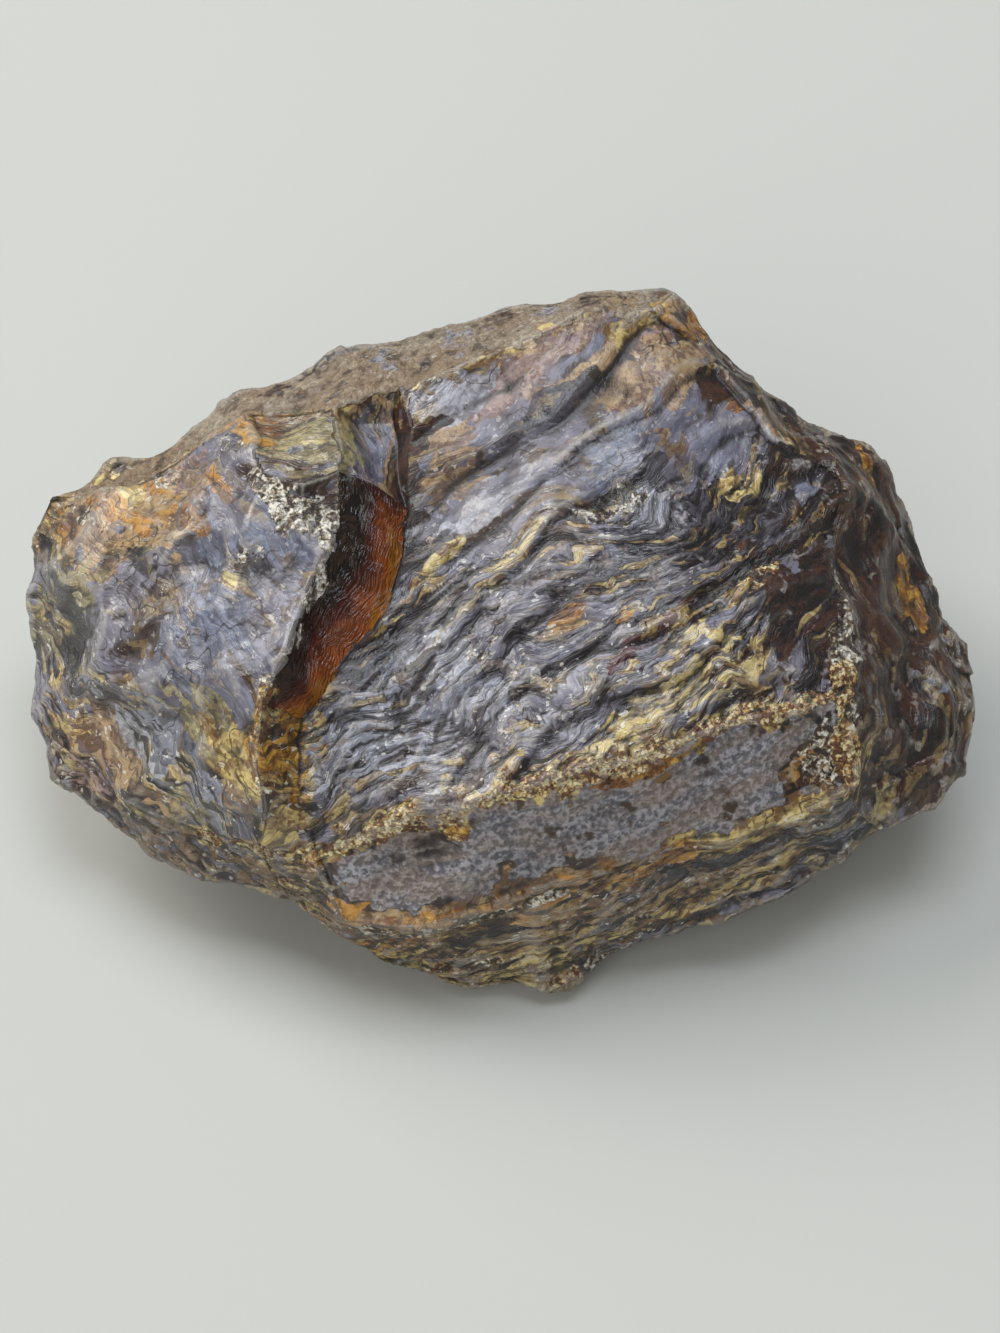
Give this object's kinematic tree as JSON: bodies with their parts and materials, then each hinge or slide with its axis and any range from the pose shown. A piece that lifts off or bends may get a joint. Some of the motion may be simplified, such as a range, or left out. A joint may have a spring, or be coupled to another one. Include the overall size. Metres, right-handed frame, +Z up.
{
  "type": "raw amber piece",
  "caption": "Rough lump of raw amber with a weathered crust, glossy broken faces and a clear red ledge, resting on a flat underside.",
  "frame": {"origin": "middle of the lump's bounding box in X and Y, on the plane it rests on", "axes": "+X along the lump's length, from the blunt left end towards the end with the small knob, +Z up from its flat foot, -Y towards the grey weathered face"},
  "size_m": [0.1112, 0.078, 0.0502],
  "materials": {
    "amber": "raw amber: dark glossy broken faces with a blue-grey sheen, brown and yellow weathered edges and a clear red ledge"
  },
  "bodies": {
    "root": {"raw_amber": "amber"}
  },
  "joints": []
}
